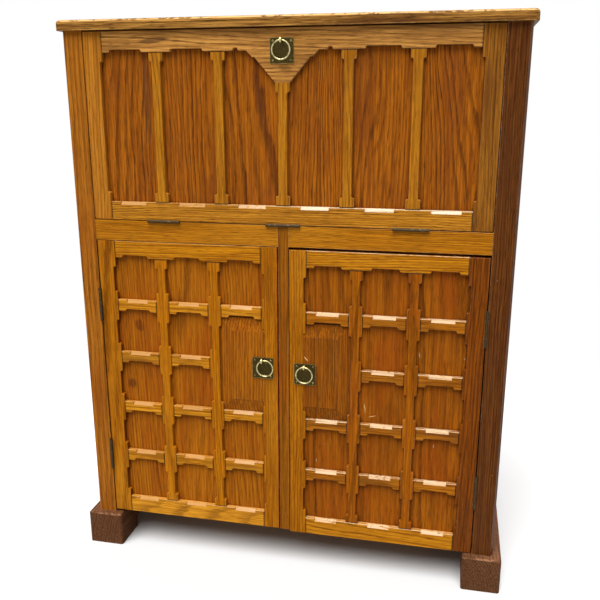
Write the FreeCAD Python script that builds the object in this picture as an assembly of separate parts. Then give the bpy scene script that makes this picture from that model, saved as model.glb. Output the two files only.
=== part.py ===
import FreeCAD, Part
import math
import os

# Bar cabinet with a fold-out shelf: a tall oak cabinet on two sledge feet.  A fall flap on
# three butt hinges closes the bar compartment above, two hinged doors close the cupboard
# below.  Flap and doors are rebated frames with an inset panel and, in front of the panel,
# a raised fret of shaped muntins and scalloped bars.
#
# Millimetres, +Z up, the front faces -Y.  The origin is on the floor, in the middle of the
# cabinet's whole footprint.

V = FreeCAD.Vector
ORIGIN = V(0, 0, 0)
X_DIR, Y_DIR, Z_DIR = V(1, 0, 0), V(0, 1, 0), V(0, 0, 1)
LEFT, RIGHT = -1, 1
TOUCHING = 1e-6                 # faces closer than this are the same face

# ---------------------------------------------------------------- driving dimensions
# Carcass
opening_width = 774.0           # clear width between the two front posts
carcass_depth = 380.0           # front face of the front posts to the back
post_height = 1011.0
post_face_width = 37.0          # flat front face of a post
post_bevel_width = 5.0          # long bevel down the outer front corner
post_bevel_depth = 12.0
front_post_depth = 45.0
back_post_depth = 32.0

foot_height = 74.0
foot_inner_overhang = 18.0      # past the post's inner side
foot_outer_overhang = 16.5      # past the post's outer side
foot_front_overhang = 14.0
foot_arris = 3.0
foot_pad_length = 80.0
foot_relief = 28.0              # hollow under the foot between its two pads

slab_thickness = 19.0
slab_overhang = 8.0             # at the front and at both sides
slab_corner_radius = 10.0
slab_edge_radius = 7.0

side_rail_thickness = 22.0
side_rail_setback = 3.0         # behind the posts' outer side
side_bottom_rail_width = 70.0
side_mid_rail_width = 60.0
side_top_rail_width = 60.0
side_panel_thickness = 6.0
panel_groove_depth = 6.0

back_panel_thickness = 6.0
back_rebate_width = 8.0
back_rail_thickness = 18.0
back_rail_width = 60.0

# Flap, doors and the rail between them
front_reveal = 1.0              # their front faces lie this far behind the posts'
panel_thickness = 12.0
fret_depth = 9.0                # height of the fret above the panel
panel_rebate = 9.0              # panel behind the edge of stiles and rails
frame_arris = 0.8
mid_rail_width = 40.5
centre_muntin_width = 20.0

fall_side_gap = 1.0
fall_top_gap = 2.0
fall_bottom_gap = 1.5
fall_height = 352.5
fall_stile_width = 37.0
fall_top_rail_width = 38.0
fall_bottom_rail_width = 35.5
fall_muntin_width = 17.0        # shaft of a muntin
fall_bay_count = 6
fall_head_length = 19.0         # shaped head of a muntin, with its taper
fall_foot_length = 21.0

door_side_gap = 2.0
door_meeting_gap = 1.5
door_top_gap = 1.5
door_bottom_gap = 5.5           # above the feet
right_door_drop = 4.0           # the right door hangs lower on its hinges
door_hinge_stile_width = 36.0
door_meeting_stile_width = 33.0
door_top_rail_width = 34.0
door_bottom_rail_width = 36.5
door_muntin_width = 15.5
door_column_count = 3
door_row_count = 5
door_bar_width = 24.5
door_head_length = 22.0         # shaped wing of an upright below a bar or rail
door_foot_length = 19.0         # shaped wing above a bar or rail

# Fret
wing_width = 5.0                # heads and feet stand out this far from a shaft
wing_taper = 5.0
shoulder_length = 13.0          # flat end of a scalloped edge
scallop_run = 6.0               # reverse curve between shoulder and arch
scallop_rise = 5.0
stopped_chamfer = 6.0
chamfer_inset = 20.0            # ends of a stopped chamfer to the ends of the bay

apron_depth = 56.0              # V-shaped drop in the middle of the flap's top rail
apron_step_drop = 11.5
apron_step_run = 11.0           # from the apron's outer end in to its small level step
apron_step_length = 4.0
short_arch_length = 2.3         # level top of the short scallop on each side of the apron

pad_lower_row_count = 2         # rows of a door below its lock pad
pad_row_count = 2               # rows that the lock pad fills
pad_bevel_width = 27.0
pad_edge_thickness = 2.5
pad_field_step = 0.8

# Inside
floor_thickness = 18.0
cupboard_floor_rise = 6.0       # underside of the cupboard floor above the feet
shelf_thickness = 15.0
bar_shelf_depth = 145.0
bar_shelf_height = 160.0        # underside above the bar floor
cupboard_shelf_setback = 40.0
cupboard_shelf_height = 290.0   # underside above the cupboard floor
bearer_height = 28.0
bearer_inset = 3.0              # inner face of a bearer behind the posts' inner face
stop_gap = 0.5                  # closed flap and doors to what stops them
stop_lap = 20.0                 # stop rails behind flap and doors
stop_rail_thickness = 18.0

# Butt hinges
knuckle_radius = 2.75
knuckle_count = 5
knuckle_gap = 0.3
hinge_pin_radius = 1.25
hinge_pin_clearance = 0.05
hinge_pin_head_radius = 2.2
hinge_pin_head_height = 0.8
hinge_leaf_thickness = 1.5
hinge_leaf_depth = 19.0         # from the axis backwards
hinge_axis_proud = 3.1          # axis in front of the frames' face
fall_hinge_length = 66.0
fall_hinge_offset = 240.0       # centre of an outer hinge from the middle
door_hinge_length = 70.0
door_hinge_top_inset = 134.0    # centre of the upper hinge below the door's top
door_hinge_bottom_inset = 136.5

# Quadrant stays of the flap
stay_radius = 200.0
stay_strip_width = 12.0
stay_strip_thickness = 3.0
stay_side_inset = 3.5           # outer face of the strip to the post's inner face
stay_foot_length = 44.0
stay_foot_width = 14.0
stay_foot_thickness = 2.5
stay_guide_gap = 4.5            # guide behind the closed flap
stay_guide_depth = 8.0
stay_guide_height = 27.0
stay_guide_wall = 2.5
stay_guide_clearance = 0.4
stay_pin_radius = 3.0
stay_pin_height = 3.0           # stop pin past the inner face of the strip
stay_pin_clearance = 0.3        # pin to guide when the flap is down
stay_end_length = 6.0
stay_slot_clearance = 1.5       # in the bar floor
fall_opening_angle = 90.0

# Ring pulls
pull_plate_size = 44.0
pull_plate_thickness = 1.5
pull_plate_corner = 2.0
pull_boss_radius = 13.0
pull_boss_height = 1.2
ring_radius = 16.4              # to the middle of the wire
ring_wire_radius = 1.5
ring_plane_distance = 8.2       # ring's middle plane in front of the plate
ring_axis_rise = 17.3           # eye above the plate's centre
left_ring_lean = 22.0           # degrees that the left door's ring hangs aside in its eye
eye_radius = 5.2
eye_length = 2.6
eye_bore_clearance = 0.35       # round the wire of a leaning ring
eye_stem_radius = 2.4
fall_pull_inset = 39.0          # plate's centre below the flap's top edge
door_pull_height = 360.5        # plate's centre above the door's bottom edge
door_pull_offset = 43.0         # plate's centre from the middle of the cabinet
right_pull_drop = 3.0           # the right door's plate sits lower on its door

# Magnetic catches
magnet_width = 40.0
magnet_height = 13.0
magnet_depth = 16.0
magnet_gap = 0.4
strike_width = 34.0
strike_height = 11.0
strike_thickness = 1.0
fall_magnet_offset = 200.0      # from the middle of the cabinet
door_magnet_offset = 90.0

# ---------------------------------------------------------------- derived places
half_opening = opening_width / 2
half_flat = half_opening + post_face_width
half_width = half_flat + post_bevel_width

post_front_y = (foot_front_overhang - carcass_depth) / 2
back_y = post_front_y + carcass_depth
front_post_back_y = post_front_y + front_post_depth
back_post_front_y = back_y - back_post_depth
back_panel_y = back_y - back_panel_thickness
slab_bottom_z = foot_height + post_height

frame_thickness = panel_thickness + fret_depth
face_y = post_front_y + front_reveal            # front face of flap, doors and mid rail
panel_y = face_y + fret_depth                   # front face of the panels
inner_y = face_y + frame_thickness              # inner face of flap and doors
board_y = inner_y + stop_gap                    # front of all that lies behind them
hinge_y = face_y - hinge_axis_proud

fall_top_z = slab_bottom_z - fall_top_gap
fall_bottom_z = fall_top_z - fall_height
fall_axis_z = fall_bottom_z - fall_bottom_gap / 2
mid_rail_top_z = fall_bottom_z - fall_bottom_gap
mid_rail_bottom_z = mid_rail_top_z - mid_rail_width
fall_half_width = half_opening - fall_side_gap
fall_field_half = fall_half_width - fall_stile_width
fall_head_width = fall_muntin_width + 2 * wing_width
fall_bay = (2 * fall_field_half - (fall_bay_count - 1) * fall_head_width) / fall_bay_count
fall_rail_z = fall_bottom_z + fall_bottom_rail_width        # top of the bottom rail
fall_shoulder_z = fall_top_z - fall_top_rail_width          # underside of the top rail

short_scallop_width = 2 * (shoulder_length + scallop_run) + short_arch_length
apron_half_width = fall_head_width / 2 + fall_bay - short_scallop_width
apron_step_outer = apron_half_width - apron_step_run
apron_step_inner = apron_step_outer - apron_step_length

door_bottom_z = foot_height + door_bottom_gap
door_height = mid_rail_bottom_z - door_top_gap - door_bottom_z
door_outer_x = half_opening - door_side_gap
door_inner_x = centre_muntin_width / 2 + door_meeting_gap
door_axis_x = half_opening - door_side_gap / 2
door_field_in = door_inner_x + door_meeting_stile_width
door_field_out = door_outer_x - door_hinge_stile_width
door_head_width = door_muntin_width + 2 * wing_width
door_bay = (door_field_out - door_field_in
            - (door_column_count - 1) * door_head_width) / door_column_count
door_rail_z = door_bottom_rail_width            # door heights count from its bottom edge
door_shoulder_z = door_height - door_top_rail_width
door_row = (door_shoulder_z - door_rail_z
            - (door_row_count - 1) * door_bar_width) / door_row_count

bar_floor_top_z = fall_axis_z + hinge_axis_proud + frame_thickness   # level with the open flap
bar_floor_bottom_z = bar_floor_top_z - floor_thickness
bar_shelf_bottom_z = bar_floor_top_z + bar_shelf_height
cupboard_floor_bottom_z = foot_height + cupboard_floor_rise
cupboard_floor_top_z = cupboard_floor_bottom_z + floor_thickness
cupboard_shelf_bottom_z = cupboard_floor_top_z + cupboard_shelf_height

side_rail_outer_x = half_width - side_rail_setback
side_rail_inner_x = side_rail_outer_x - side_rail_thickness
side_panel_x = (side_rail_inner_x + side_rail_outer_x - side_panel_thickness) / 2
side_rail_spans = ((foot_height, foot_height + side_bottom_rail_width),
                   (bar_floor_top_z - side_mid_rail_width, bar_floor_top_z),
                   (slab_bottom_z - side_top_rail_width, slab_bottom_z))
side_panel_spans = tuple((low[1] - panel_groove_depth, high[0] + panel_groove_depth)
                         for low, high in zip(side_rail_spans, side_rail_spans[1:]))


# ---------------------------------------------------------------- helpers
def block(x_low, x_high, y_low, y_high, z_low, z_high):
    """A box between two corners."""
    return Part.makeBox(x_high - x_low, y_high - y_low, z_high - z_low, V(x_low, y_low, z_low))


def cylinder(radius, start, end):
    axis = end - start
    return Part.makeCylinder(radius, axis.Length, start, axis)


def polygon_prism(points, extrusion):
    """The closed polygon through the points, extruded."""
    return Part.Face(Part.makePolygon(points + points[:1])).extrude(extrusion)


def outline_prism(edges, depth):
    """A closed outline of lines and arcs in the front plane, extruded backwards."""
    outline = Part.Wire(Part.__sortEdges__(edges))
    return Part.Face(outline).extrude(Y_DIR * depth)


def segment(x_start, z_start, x_end, z_end):
    """A straight edge in the front plane."""
    return Part.LineSegment(V(x_start, face_y, z_start), V(x_end, face_y, z_end)).toShape()


def reverse_curve(x_start, z_start, x_end, z_end, along):
    """Two equal arcs that form an S, tangent to the direction along at both ends."""
    start, end = V(x_start, face_y, z_start), V(x_end, face_y, z_end)
    middle = (start + end) * 0.5
    chord = middle - start
    run = chord.dot(along)
    offset = chord - along * run
    rise = offset.Length
    radius = (run * run + rise * rise) / (2 * rise)
    half_turn = math.asin(run / radius) / 2
    sag = (along * (radius * math.sin(half_turn))
           + offset * (radius * (1 - math.cos(half_turn)) / rise))
    return [Part.Arc(start, start + sag, middle).toShape(),
            Part.Arc(middle, end - sag, end).toShape()]


def soften_front(solid):
    """A fine chamfer on the arrises that lie in the frames' front face."""
    arrises = [edge for edge in solid.Edges
               if abs(edge.BoundBox.YMin - face_y) < TOUCHING
               and abs(edge.BoundBox.YMax - face_y) < TOUCHING]
    return solid.makeChamfer(frame_arris, arrises)


def mirrored(shape, side):
    """What is drawn for the right, or its mirror image for the left."""
    return shape if side == RIGHT else shape.mirror(ORIGIN, X_DIR)


def both_sides(shape):
    return [mirrored(shape, LEFT), mirrored(shape, RIGHT)]


def joined(shapes):
    return shapes[0].fuse(shapes[1:]).removeSplitter()


def export(node, *solids):
    Part.makeCompound(list(solids)).exportStep("parts/" + node + ".step")


# ---------------------------------------------------------------- carcass
def front_post(side):
    """The long bevel runs down the outer front corner; the door's hinges are let in."""
    bevel_back_y = post_front_y + post_bevel_depth
    corners = [V(half_opening, post_front_y, foot_height), V(half_flat, post_front_y, foot_height),
               V(half_width, bevel_back_y, foot_height),
               V(half_width, front_post_back_y, foot_height),
               V(half_opening, front_post_back_y, foot_height)]
    post = polygon_prism(corners, Z_DIR * post_height)
    post = post.cut(side_panel_grooves(front_post_back_y - panel_groove_depth,
                                       front_post_back_y))
    return mirrored(post, side).cut(door_hinge_pockets(side))


def back_post(side):
    post = block(half_opening, half_width, back_post_front_y, back_y,
                 foot_height, slab_bottom_z)
    rebate = block(half_opening, half_opening + back_rebate_width, back_panel_y, back_y,
                   foot_height, slab_bottom_z)
    grooves = side_panel_grooves(back_post_front_y, back_post_front_y + panel_groove_depth)
    return mirrored(post.cut([rebate] + grooves), side)


def side_panel_grooves(y_low, y_high):
    return [block(side_panel_x, side_panel_x + side_panel_thickness, y_low, y_high, low, high)
            for low, high in side_panel_spans]


def side_panels():
    """Thin panels held in grooves all round."""
    panels = side_panel_grooves(front_post_back_y - panel_groove_depth,
                                back_post_front_y + panel_groove_depth)
    return [mirrored(panel, side) for side in (LEFT, RIGHT) for panel in panels]


def side_rails():
    grooves = side_panel_grooves(front_post_back_y, back_post_front_y)
    rails = [block(side_rail_inner_x, side_rail_outer_x, front_post_back_y, back_post_front_y,
                   low, high).cut(grooves) for low, high in side_rail_spans]
    return [mirrored(rail, side) for side in (LEFT, RIGHT) for rail in rails]


def foot(side):
    """A sledge foot: a runner that stands on a pad at each end."""
    x_low, x_high = half_opening - foot_inner_overhang, half_width + foot_outer_overhang
    y_low = post_front_y - foot_front_overhang
    runner = block(x_low, x_high, y_low, back_y, 0, foot_height)
    hollow = block(x_low, x_high, y_low + foot_pad_length, back_y - foot_pad_length,
                   0, foot_relief)
    corners = [edge for edge in hollow.Edges
               if edge.BoundBox.ZMin > TOUCHING and edge.BoundBox.YLength < TOUCHING]
    runner = runner.cut(hollow.makeFillet(foot_relief / 2, corners))

    def softened(edge):
        box = edge.BoundBox
        on_top = box.ZMin > foot_height - TOUCHING and box.YMax < back_y + TOUCHING
        front_corner = box.YMax < y_low + TOUCHING and box.ZLength > TOUCHING
        return (on_top and box.YMin < back_y - TOUCHING) or front_corner
    return mirrored(runner.makeChamfer(foot_arris, list(filter(softened, runner.Edges))), side)


def top_slab():
    """Rounded over along its front and sides, with rounded front corners."""
    half = half_width + slab_overhang
    y_low = post_front_y - slab_overhang
    top_z = slab_bottom_z + slab_thickness
    slab = block(-half, half, y_low, back_y, slab_bottom_z, top_z)
    corners = [edge for edge in slab.Edges
               if edge.BoundBox.ZLength > TOUCHING and edge.BoundBox.YMax < y_low + TOUCHING]
    slab = slab.makeFillet(slab_corner_radius, corners)
    rim = [edge for edge in slab.Edges
           if edge.BoundBox.ZMin > top_z - TOUCHING and edge.BoundBox.YMin < back_y - TOUCHING]
    return slab.makeFillet(slab_edge_radius, rim)


def mid_rails():
    """The rail between flap and doors, in two lengths beside the centre muntin."""
    rail = block(centre_muntin_width / 2, half_opening, face_y, board_y,
                 mid_rail_bottom_z, mid_rail_top_z)
    return [piece.cut(fall_hinge_pockets(RIGHT)) for piece in both_sides(rail)]


def centre_muntin():
    half = centre_muntin_width / 2
    upright = block(-half, half, face_y, board_y, door_bottom_z, mid_rail_top_z)
    return upright.cut(fall_hinge_pockets(RIGHT))


def board(y_low, z_low, thickness):
    """A floor or shelf, notched round the posts."""
    z_high = z_low + thickness
    middle = block(-half_opening, half_opening, y_low, back_panel_y, z_low, z_high)
    ends = block(-side_rail_inner_x, side_rail_inner_x, max(y_low, front_post_back_y),
                 back_post_front_y, z_low, z_high)
    return joined([middle, ends])


def bar_floor():
    """Level with the open flap; the stays run down through a slot at each end."""
    return board(board_y, bar_floor_bottom_z, floor_thickness).cut(both_sides(stay_slot()))


def bearers():
    """Battens between the posts, under the ends of floors and shelves."""
    undersides = (cupboard_floor_bottom_z, cupboard_shelf_bottom_z,
                  bar_floor_bottom_z, bar_shelf_bottom_z)
    battens = [block(half_opening + bearer_inset, side_rail_inner_x, front_post_back_y,
                     back_post_front_y, max(z - bearer_height, foot_height), z)
               for z in undersides]
    return [mirrored(batten, side) for side in (LEFT, RIGHT) for batten in battens]


def stop_rails():
    """Rails between the posts that the flap's and the doors' top edges close against."""
    spans = ((fall_top_z - stop_lap, slab_bottom_z),
             (mid_rail_bottom_z - door_top_gap - stop_lap, bar_floor_bottom_z))
    return [block(-half_opening, half_opening, board_y, board_y + stop_rail_thickness,
                  low, high) for low, high in spans]


def back_rail():
    return block(-half_opening, half_opening, back_panel_y - back_rail_thickness, back_panel_y,
                 slab_bottom_z - back_rail_width, slab_bottom_z)


def back_panel():
    half = half_opening + back_rebate_width
    return block(-half, half, back_panel_y, back_y, foot_height, slab_bottom_z)


# ---------------------------------------------------------------- fret outlines
def scalloped_edge(x_low, x_high, z):
    """An underside with flat shoulders, reverse curves and a raised arch between them."""
    curve_low, curve_high = x_low + shoulder_length, x_high - shoulder_length
    arch_low, arch_high = curve_low + scallop_run, curve_high - scallop_run
    arch_z = z + scallop_rise
    return ([segment(x_low, z, curve_low, z)]
            + reverse_curve(curve_low, z, arch_low, arch_z, X_DIR)
            + [segment(arch_low, arch_z, arch_high, arch_z)]
            + reverse_curve(arch_high, arch_z, curve_high, z, X_DIR)
            + [segment(curve_high, z, x_high, z)])


def winged_edge(x_shaft, x_wing, z_low, z_high, wings):
    """An upright edge that stands out to x_wing over each span of wings, from below."""
    edges = []
    x, z = x_shaft, z_low
    for wing_low, wing_high in wings:
        if wing_low > z_low:
            edges.append(segment(x, z, x, wing_low))
            edges += reverse_curve(x, wing_low, x_wing, wing_low + wing_taper, Z_DIR)
            z = wing_low + wing_taper
        x = x_wing
        if wing_high < z_high:
            edges.append(segment(x, z, x, wing_high - wing_taper))
            edges += reverse_curve(x, wing_high - wing_taper, x_shaft, wing_high, Z_DIR)
            x, z = x_shaft, wing_high
    return edges + [segment(x, z, x, z_high)]


def closed_between(left_edges, right_edges, z_low, z_high):
    """Two upright edges, closed by level lines at the bottom and the top."""
    def end_x(edges, z):
        return [vertex.X for edge in edges for vertex in edge.Vertexes
                if abs(vertex.Z - z) < TOUCHING][0]
    level = [segment(end_x(left_edges, z), z, end_x(right_edges, z), z)
             for z in (z_low, z_high)]
    return left_edges + right_edges + level


def muntin(x, shaft_width, z_low, z_high, left_wings, right_wings):
    """An upright of the fret with shaped heads and feet."""
    half = shaft_width / 2
    left = winged_edge(x - half, x - half - wing_width, z_low, z_high, left_wings)
    right = winged_edge(x + half, x + half + wing_width, z_low, z_high, right_wings)
    return soften_front(outline_prism(closed_between(left, right, z_low, z_high), fret_depth))


def stile(x_outer, x_inner, z_low, z_high, wings):
    """Full depth outside, a rebate for the panel inside, and a shaped fret edge before it."""
    outwards = 1 if x_outer > x_inner else -1
    shaped = winged_edge(x_inner + outwards * wing_width, x_inner, z_low, z_high, wings)
    straight = [segment(x_outer, z_low, x_outer, z_high)]
    front = soften_front(outline_prism(closed_between(shaped, straight, z_low, z_high),
                                       fret_depth))
    x_low, x_high = sorted((x_outer, x_inner + outwards * panel_rebate))
    return joined([front, block(x_low, x_high, panel_y, inner_y, z_low, z_high)])


def rail(edges, x_low, x_high, back_low, back_high):
    """The shaped front of a rail, and its back, which fills the stiles' rebates."""
    front = soften_front(outline_prism(edges, fret_depth))
    back = block(x_low - panel_rebate, x_high + panel_rebate, panel_y, inner_y,
                 back_low, back_high)
    return joined([front, back])


def rectangle(x_low, x_high, z_low, z_high):
    return [segment(x_low, z_low, x_high, z_low), segment(x_high, z_low, x_high, z_high),
            segment(x_high, z_high, x_low, z_high), segment(x_low, z_high, x_low, z_low)]


def open_rectangle(x_low, x_high, z_low, z_high):
    """Both ends and the top of a rectangle, for a shaped underside."""
    return rectangle(x_low, x_high, z_low, z_high)[1:]


def chamfer_wedge(x_low, x_high, z_top):
    """What a stopped chamfer takes from the top front arris of a bar over one bay."""
    size = stopped_chamfer
    corners = [V(x_low + chamfer_inset, face_y - size, z_top + size),
               V(x_low + chamfer_inset, face_y - size, z_top - 2 * size),
               V(x_low + chamfer_inset, face_y + 2 * size, z_top + size)]
    return polygon_prism(corners, X_DIR * (x_high - x_low - 2 * chamfer_inset))


def bays(x_first, bay, head, count):
    """The two limits of each bay, from the left."""
    return [(x_first + index * (bay + head), x_first + index * (bay + head) + bay)
            for index in range(count)]


def scalloped_run(run_bays, z):
    """A scallop over each bay and a level stretch over each muntin's head between them."""
    edges = []
    for index, (low, high) in enumerate(run_bays):
        edges += scalloped_edge(low, high, z)
        if index + 1 < len(run_bays):
            edges.append(segment(high, z, run_bays[index + 1][0], z))
    return edges


# ---------------------------------------------------------------- fall flap
fall_bays = bays(-fall_field_half, fall_bay, fall_head_width, fall_bay_count)
fall_middle = fall_bay_count // 2               # the bays beside the middle of the flap


def fall_stile(side):
    wings = [(fall_bottom_z, fall_rail_z + fall_foot_length),
             (fall_shoulder_z - fall_head_length, fall_top_z)]
    return stile(side * fall_half_width, side * fall_field_half,
                 fall_bottom_z, fall_top_z, wings)


def apron():
    """The stepped V that drops from the top rail to the head of the middle muntin."""
    tip_z, step_z = fall_shoulder_z - apron_depth, fall_shoulder_z - apron_step_drop
    half_tip = fall_head_width / 2
    corners = [(half_tip, tip_z), (apron_step_inner, step_z), (apron_step_outer, step_z),
               (apron_half_width, fall_shoulder_z)]
    edges = [segment(-half_tip, tip_z, half_tip, tip_z)]
    for (x_start, z_start), (x_end, z_end) in zip(corners, corners[1:]):
        edges.append(segment(x_start, z_start, x_end, z_end))
        edges.append(segment(-x_start, z_start, -x_end, z_end))
    return edges


def fall_top_rail():
    z = fall_shoulder_z
    left, right = fall_bays[:fall_middle - 1], fall_bays[fall_middle + 1:]
    inner_left, inner_right = fall_bays[fall_middle - 1], fall_bays[fall_middle]
    edges = scalloped_run(left + [(inner_left[0], -apron_half_width)], z) + apron()
    edges += scalloped_run([(apron_half_width, inner_right[1])] + right, z)
    edges += open_rectangle(-fall_field_half, fall_field_half, z, fall_top_z)
    return rail(edges, -fall_field_half, fall_field_half, z + panel_rebate, fall_top_z)


def fall_bottom_rail():
    edges = rectangle(-fall_field_half, fall_field_half, fall_bottom_z, fall_rail_z)
    solid = rail(edges, -fall_field_half, fall_field_half, fall_bottom_z,
                 fall_rail_z - panel_rebate)
    chamfers = [chamfer_wedge(low, high, fall_rail_z) for low, high in fall_bays]
    return solid.cut(chamfers).cut(fall_hinge_pockets(LEFT))


def fall_muntins():
    """The middle one stands under the tip of the apron."""
    solids = []
    for index in range(1, fall_bay_count):
        x = fall_bays[index][0] - fall_head_width / 2
        z_high = fall_shoulder_z - (apron_depth if index == fall_middle else 0)
        wings = [(fall_rail_z, fall_rail_z + fall_foot_length),
                 (z_high - fall_head_length, z_high)]
        solids.append(muntin(x, fall_muntin_width, fall_rail_z, z_high, wings, wings))
    return solids


def fall_panel():
    half = fall_field_half + panel_rebate
    return block(-half, half, panel_y, inner_y,
                 fall_rail_z - panel_rebate, fall_shoulder_z + panel_rebate)


# ---------------------------------------------------------------- doors
# Drawn for the right, with heights above the door's bottom edge, then put in place.
door_bays = bays(door_field_in, door_bay, door_head_width, door_column_count)
door_bars_z = [door_rail_z + row * (door_row + door_bar_width) - door_bar_width
               for row in range(1, door_row_count)]           # underside of each bar
pad_top_bar = pad_lower_row_count + pad_row_count - 1
pad_low_z = door_bars_z[pad_lower_row_count - 1] + door_bar_width
pad_high_z = door_bars_z[pad_top_bar]
pad_hidden_bars_z = door_bars_z[pad_lower_row_count:pad_top_bar]


def door_piece(shape, side):
    """Mirror a piece of a door for its side and lift it to the door's place."""
    drop = right_door_drop if side == RIGHT else 0
    return mirrored(shape, side).translated(V(0, 0, door_bottom_z - drop))


def door_wings(bars_z, z_low, z_high):
    """Spans over which an upright stands out, where rails and bars meet it."""
    wings = [(z_low, door_rail_z + door_foot_length)]
    wings += [(z - door_head_length, z + door_bar_width + door_foot_length) for z in bars_z]
    return wings + [(door_shoulder_z - door_head_length, z_high)]


def beside_pad(z_low, z_high):
    """Wings of an upright on the side where the lock pad takes the place of a bar."""
    return door_wings([z for z in door_bars_z if z not in pad_hidden_bars_z], z_low, z_high)


def door_hinge_stile(side):
    solid = stile(door_outer_x, door_field_out, 0, door_height,
                  door_wings(door_bars_z, 0, door_height))
    return door_piece(solid, side).cut(door_hinge_pockets(side, LEFT))


def door_meeting_stile(side):
    solid = stile(door_inner_x, door_field_in, 0, door_height, beside_pad(0, door_height))
    return door_piece(solid, side)


def door_top_rail(side):
    edges = scalloped_run(door_bays, door_shoulder_z)
    edges += open_rectangle(door_field_in, door_field_out, door_shoulder_z, door_height)
    solid = rail(edges, door_field_in, door_field_out, door_shoulder_z + panel_rebate,
                 door_height)
    return door_piece(solid, side)


def door_bottom_rail(side):
    edges = rectangle(door_field_in, door_field_out, 0, door_rail_z)
    solid = rail(edges, door_field_in, door_field_out, 0, door_rail_z - panel_rebate)
    chamfers = [chamfer_wedge(low, high, door_rail_z) for low, high in door_bays]
    return door_piece(solid.cut(chamfers), side)


def door_muntin(column):
    """The muntin on the outer side of a column; the first stands beside the lock pad."""
    wings = door_wings(door_bars_z, door_rail_z, door_shoulder_z)
    left_wings = beside_pad(door_rail_z, door_shoulder_z) if column == 0 else wings
    x = door_bays[column][1] + door_head_width / 2
    return muntin(x, door_muntin_width, door_rail_z, door_shoulder_z, left_wings, wings)


def door_muntins(side):
    return [door_piece(door_muntin(column), side) for column in range(door_column_count - 1)]


def door_bar(x_low, x_high, z):
    """A cross bar between two uprights, scalloped below, with a stopped chamfer above."""
    z_high = z + door_bar_width
    edges = scalloped_edge(x_low, x_high, z) + open_rectangle(x_low, x_high, z, z_high)
    bar = soften_front(outline_prism(edges, fret_depth))
    return bar.cut(chamfer_wedge(x_low, x_high, z_high))


def door_bars(side):
    """Every bar but those that the lock pad stands in for."""
    return [door_piece(door_bar(low, high, z), side)
            for column, (low, high) in enumerate(door_bays) for z in door_bars_z
            if column > 0 or z not in pad_hidden_bars_z]


def door_panel(side):
    panel = block(door_field_in - panel_rebate, door_field_out + panel_rebate, panel_y, inner_y,
                  door_rail_z - panel_rebate, door_shoulder_z + panel_rebate)
    return door_piece(panel, side)


def lock_pad(side):
    """A raised and fielded block flush with the meeting stile, bevelled on three sides."""
    x_low, x_high = door_field_in - wing_width, door_bays[0][1] + wing_width
    pad = block(x_low, x_high, face_y, panel_y, pad_low_z, pad_high_z)
    edge_y = panel_y - pad_edge_thickness
    bevel = [(0, face_y), (0, edge_y), (pad_bevel_width, face_y + pad_field_step),
             (pad_bevel_width, face_y)]         # (inwards from the edge, y)
    outer = polygon_prism([V(x_high - inwards, y, pad_low_z) for inwards, y in bevel],
                          Z_DIR * (pad_high_z - pad_low_z))
    lower = polygon_prism([V(x_low, y, pad_low_z + inwards) for inwards, y in bevel],
                          X_DIR * (x_high - x_low))
    upper = polygon_prism([V(x_low, y, pad_high_z - inwards) for inwards, y in bevel],
                          X_DIR * (x_high - x_low))
    stile_wings = stile(door_inner_x, door_field_in, 0, door_height, beside_pad(0, door_height))
    return door_piece(pad.cut([outer, lower, upper, door_muntin(0), stile_wings]), side)


# ---------------------------------------------------------------- butt hinges
# Drawn upright on the Z axis with the gap behind it: the fixed leaf lies on the +X side of
# the gap, the moving leaf on the -X side.
def hinge_leaf(length, gap, leaf_side):
    """A leaf with its knuckles: the fixed one has the first, third and fifth."""
    x_low, x_high = sorted((leaf_side * gap / 2, leaf_side * (gap / 2 + hinge_leaf_thickness)))
    step = length / knuckle_count
    shapes = [block(x_low, x_high, hinge_axis_proud, hinge_leaf_depth, -length / 2, length / 2)]
    for index in range(0 if leaf_side == RIGHT else 1, knuckle_count, 2):
        low = index * step - length / 2 + knuckle_gap / 2
        high = low + step - knuckle_gap
        shapes.append(cylinder(knuckle_radius, V(0, 0, low), V(0, 0, high)))
        shapes.append(block(x_low, x_high, 0, hinge_axis_proud, low, high))
    bore = cylinder(hinge_pin_radius + hinge_pin_clearance, V(0, 0, -length), V(0, 0, length))
    return joined(shapes).cut(bore)


def hinge_pin(length):
    """A pin with a head at each end, which rests on the end knuckles."""
    half = (length - knuckle_gap) / 2
    shapes = [cylinder(hinge_pin_radius, V(0, 0, -half), V(0, 0, half))]
    for end in (-1, 1):
        shapes.append(cylinder(hinge_pin_head_radius, V(0, 0, end * half),
                               V(0, 0, end * (half + hinge_pin_head_height))))
    return joined(shapes)


def hinge_pocket(length, gap, leaf_side):
    """The recess that lets one leaf in flush."""
    x_low, x_high = sorted((0, leaf_side * (gap / 2 + hinge_leaf_thickness)))
    return block(x_low, x_high, 0, hinge_leaf_depth, -length / 2, length / 2)


def on_fall_axis(shape):
    """The shape at each of the flap's three hinges, turned so that the fixed leaf is below."""
    level = shape.rotated(ORIGIN, Y_DIR, 90)
    return [level.translated(V(x, hinge_y, fall_axis_z))
            for x in (-fall_hinge_offset, 0, fall_hinge_offset)]


def on_door_axis(shape, side):
    """The shape at both hinges of a door."""
    heights = (door_hinge_bottom_inset, door_height - door_hinge_top_inset)
    return [door_piece(shape.translated(V(door_axis_x, hinge_y, z)), side) for z in heights]


def fall_hinge_pockets(leaf_side):
    return on_fall_axis(hinge_pocket(fall_hinge_length, fall_bottom_gap, leaf_side))


def door_hinge_pockets(side, leaf_side=RIGHT):
    return on_door_axis(hinge_pocket(door_hinge_length, door_side_gap, leaf_side), side)


def door_hinge_leaves(side, leaf_side):
    return on_door_axis(hinge_leaf(door_hinge_length, door_side_gap, leaf_side), side)


def hinge_pins():
    pins = on_fall_axis(hinge_pin(fall_hinge_length))
    for side in (LEFT, RIGHT):
        pins += on_door_axis(hinge_pin(door_hinge_length), side)
    return pins


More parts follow.
